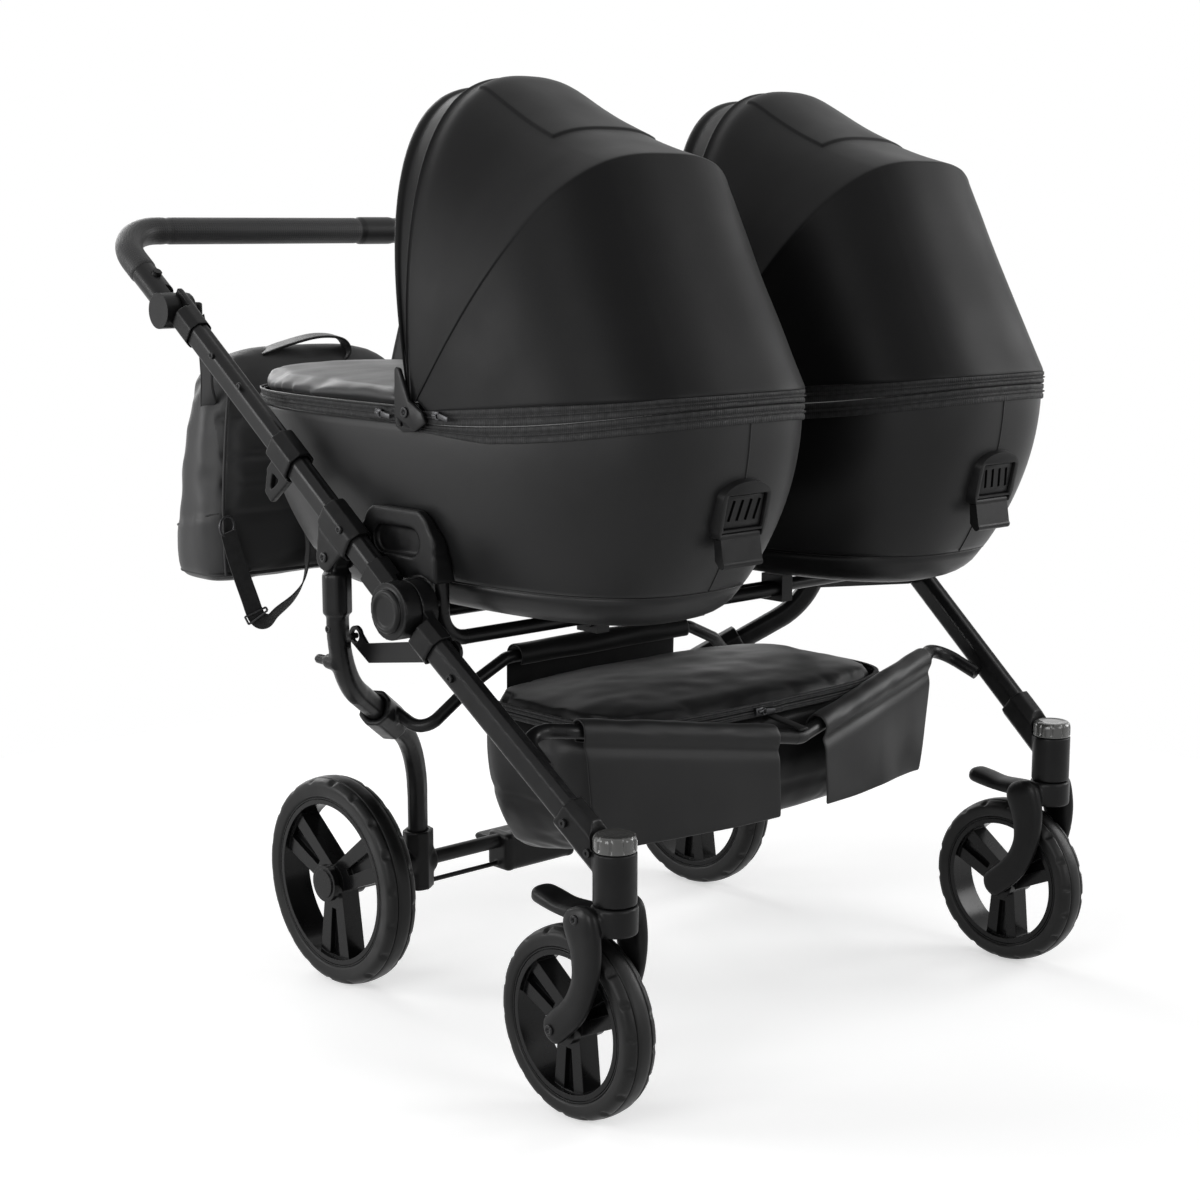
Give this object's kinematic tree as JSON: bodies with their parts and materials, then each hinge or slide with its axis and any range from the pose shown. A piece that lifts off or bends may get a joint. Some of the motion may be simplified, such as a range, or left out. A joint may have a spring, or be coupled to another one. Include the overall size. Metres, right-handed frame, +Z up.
{
  "type": "twin pram",
  "caption": "Side-by-side twin pram with hooded carrycots on a folding tube frame, swivel front wheels, tilting push handle, under-seat basket and a hanging bag.",
  "frame": {"origin": "on the floor, under the middle of the whole pram", "axes": "+Z up, +Y towards the push handle (rear), +X towards the pram's own left side"},
  "size_m": [0.833, 0.927, 1.0469],
  "materials": {
    "tube": "satin",
    "joint_plastic": "matte",
    "smoked_cap": "gloss",
    "leatherette": "matte",
    "lining": "matte",
    "grip_wrap": "matte",
    "tyre_rubber": "matte",
    "rim_plastic": "satin",
    "screw_steel": "satin"
  },
  "bodies": {
    "chassis": {"lower_tube_right": "tube", "lower_tube_left": "tube", "lower_knuckles": "joint_plastic", "steering_head_right": "joint_plastic", "steering_head_left": "joint_plastic", "head_caps": "smoked_cap", "front_basket_bar": "tube", "cot_cradle": "tube", "side_adaptors": "joint_plastic", "centre_adaptor": "joint_plastic", "basket_body": "lining", "basket_lid": "leatherette", "basket_flaps": "lining", "frame_screws": "screw_steel"},
    "upper_frame": {"upper_tube_right": "tube", "upper_tube_left": "tube", "upper_knuckles": "joint_plastic", "leg_brackets": "joint_plastic", "handle_joints": "joint_plastic", "bag_body": "leatherette", "bag_far_strap": "leatherette"},
    "handle": {"handle_bar": "tube", "handle_grip": "grip_wrap"},
    "rear_legs": {"rear_leg_right": "tube", "rear_leg_left": "tube", "axle_brackets": "joint_plastic", "rear_axle": "tube", "basket_rear_bar": "tube", "basket_sleeve": "lining", "brake_rod": "tube"},
    "fold_links": {"fold_links": "tube"},
    "brake_pedal": {"brake_pedal": "joint_plastic"},
    "handle_button_right": {"handle_button_right": "joint_plastic"},
    "fold_slider_right": {"fold_slider_right": "joint_plastic"},
    "fork_right": {"fork_right": "joint_plastic"},
    "lock_lever_right": {"lock_lever_right": "joint_plastic"},
    "front_wheel_right": {"front_tyre_right": "tyre_rubber", "front_rim_right": "rim_plastic"},
    "rear_wheel_right": {"rear_tyre_right": "tyre_rubber", "rear_rim_right": "rim_plastic"},
    "cot_right": {"cot_shell_right": "leatherette", "cot_apron_right": "leatherette", "cot_mattress_right": "lining", "hood_fabric_right": "leatherette"},
    "hood_right": {"hood_bow_right": "joint_plastic"},
    "cot_latch_right": {"cot_latch_right": "joint_plastic"},
    "handle_button_left": {"handle_button_left": "joint_plastic"},
    "fold_slider_left": {"fold_slider_left": "joint_plastic"},
    "fork_left": {"fork_left": "joint_plastic"},
    "lock_lever_left": {"lock_lever_left": "joint_plastic"},
    "front_wheel_left": {"front_tyre_left": "tyre_rubber", "front_rim_left": "rim_plastic"},
    "rear_wheel_left": {"rear_tyre_left": "tyre_rubber", "rear_rim_left": "rim_plastic"},
    "cot_left": {"cot_shell_left": "leatherette", "cot_apron_left": "leatherette", "cot_mattress_left": "lining", "hood_fabric_left": "leatherette"},
    "hood_left": {"hood_bow_left": "joint_plastic"},
    "cot_latch_left": {"cot_latch_left": "joint_plastic"}
  },
  "joints": [
    {"name": "fold", "type": "hinge", "parent": "chassis", "child": "upper_frame", "pos_m": [0, -0.1335, 0.496], "axis": [-1, 0, 0], "range_deg": [-30, 0], "deforming": ["basket_sleeve"]},
    {"name": "leg_swing", "type": "hinge", "parent": "upper_frame", "child": "rear_legs", "pos_m": [0, -0.01318, 0.53892], "axis": [1, 0, 0], "range_deg": [-12, 2]},
    {"name": "link_swing", "type": "hinge", "parent": "chassis", "child": "fold_links", "pos_m": [0, -0.18515, 0.45541], "axis": [1, 0, 0], "range_deg": [-2, 22]},
    {"name": "handle_tilt", "type": "hinge", "parent": "upper_frame", "child": "handle", "pos_m": [0, 0.3018, 0.79319], "axis": [1, 0, 0], "range_deg": [-30, 60], "deforming": ["bag_far_strap"]},
    {"name": "brake_press", "type": "hinge", "parent": "rear_legs", "child": "brake_pedal", "pos_m": [0, 0.1345, 0.111], "axis": [-1, 0, 0], "range_deg": [0, 15]},
    {"name": "handle_press_right", "type": "slide", "parent": "handle", "child": "handle_button_right", "axis": [0, 0.5621, -0.8271], "range_m": [0, 0.003], "stiffness_N_per_m": 400},
    {"name": "fold_release_right", "type": "slide", "parent": "upper_frame", "child": "fold_slider_right", "axis": [0, 0.8161, 0.5779], "range_m": [0, 0.025], "stiffness_N_per_m": 300},
    {"name": "swivel_right", "type": "hinge", "parent": "chassis", "child": "fork_right", "pos_m": [-0.357, -0.4185, 0.25], "axis": [0, 0, 1], "continuous": true},
    {"name": "swivel_lock_right", "type": "hinge", "parent": "fork_right", "child": "lock_lever_right", "pos_m": [-0.357, -0.3845, 0.2175], "axis": [1, 0, 0], "range_deg": [0, 20]},
    {"name": "front_roll_right", "type": "hinge", "parent": "fork_right", "child": "front_wheel_right", "pos_m": [-0.357, -0.3635, 0.1], "axis": [1, 0, 0], "continuous": true},
    {"name": "rear_roll_right", "type": "hinge", "parent": "rear_legs", "child": "rear_wheel_right", "pos_m": [-0.298, 0.1215, 0.125], "axis": [1, 0, 0], "continuous": true},
    {"name": "cot_lift_right", "type": "slide", "parent": "chassis", "child": "cot_right", "axis": [0, 0, 1], "range_m": [0, 0.15]},
    {"name": "hood_fold_right", "type": "hinge", "parent": "cot_right", "child": "hood_right", "pos_m": [-0.203, -0.1225, 0.7], "axis": [1, 0, 0], "range_deg": [0, 60], "deforming": ["hood_fabric_right"]},
    {"name": "latch_press_right", "type": "hinge", "parent": "cot_right", "child": "cot_latch_right", "pos_m": [-0.203, -0.43081, 0.58737], "axis": [-1, 0, 0], "range_deg": [0, 20]},
    {"name": "handle_press_left", "type": "slide", "parent": "handle", "child": "handle_button_left", "axis": [0, 0.5621, -0.8271], "range_m": [0, 0.003], "stiffness_N_per_m": 400},
    {"name": "fold_release_left", "type": "slide", "parent": "upper_frame", "child": "fold_slider_left", "axis": [0, 0.8161, 0.5779], "range_m": [0, 0.025], "stiffness_N_per_m": 300},
    {"name": "swivel_left", "type": "hinge", "parent": "chassis", "child": "fork_left", "pos_m": [0.357, -0.4185, 0.25], "axis": [0, 0, 1], "continuous": true},
    {"name": "swivel_lock_left", "type": "hinge", "parent": "fork_left", "child": "lock_lever_left", "pos_m": [0.357, -0.3845, 0.2175], "axis": [1, 0, 0], "range_deg": [0, 20]},
    {"name": "front_roll_left", "type": "hinge", "parent": "fork_left", "child": "front_wheel_left", "pos_m": [0.357, -0.3635, 0.1], "axis": [1, 0, 0], "continuous": true},
    {"name": "rear_roll_left", "type": "hinge", "parent": "rear_legs", "child": "rear_wheel_left", "pos_m": [0.298, 0.1215, 0.125], "axis": [1, 0, 0], "continuous": true},
    {"name": "cot_lift_left", "type": "slide", "parent": "chassis", "child": "cot_left", "axis": [0, 0, 1], "range_m": [0, 0.15]},
    {"name": "hood_fold_left", "type": "hinge", "parent": "cot_left", "child": "hood_left", "pos_m": [0.203, -0.1225, 0.7], "axis": [1, 0, 0], "range_deg": [0, 60], "deforming": ["hood_fabric_left"]},
    {"name": "latch_press_left", "type": "hinge", "parent": "cot_left", "child": "cot_latch_left", "pos_m": [0.203, -0.43081, 0.58737], "axis": [-1, 0, 0], "range_deg": [0, 20]}
  ],
  "couplings": [
    {"joint": "leg_swing", "follows": "fold", "ratio": 0.33},
    {"joint": "link_swing", "follows": "fold", "ratio": -0.665}
  ]
}
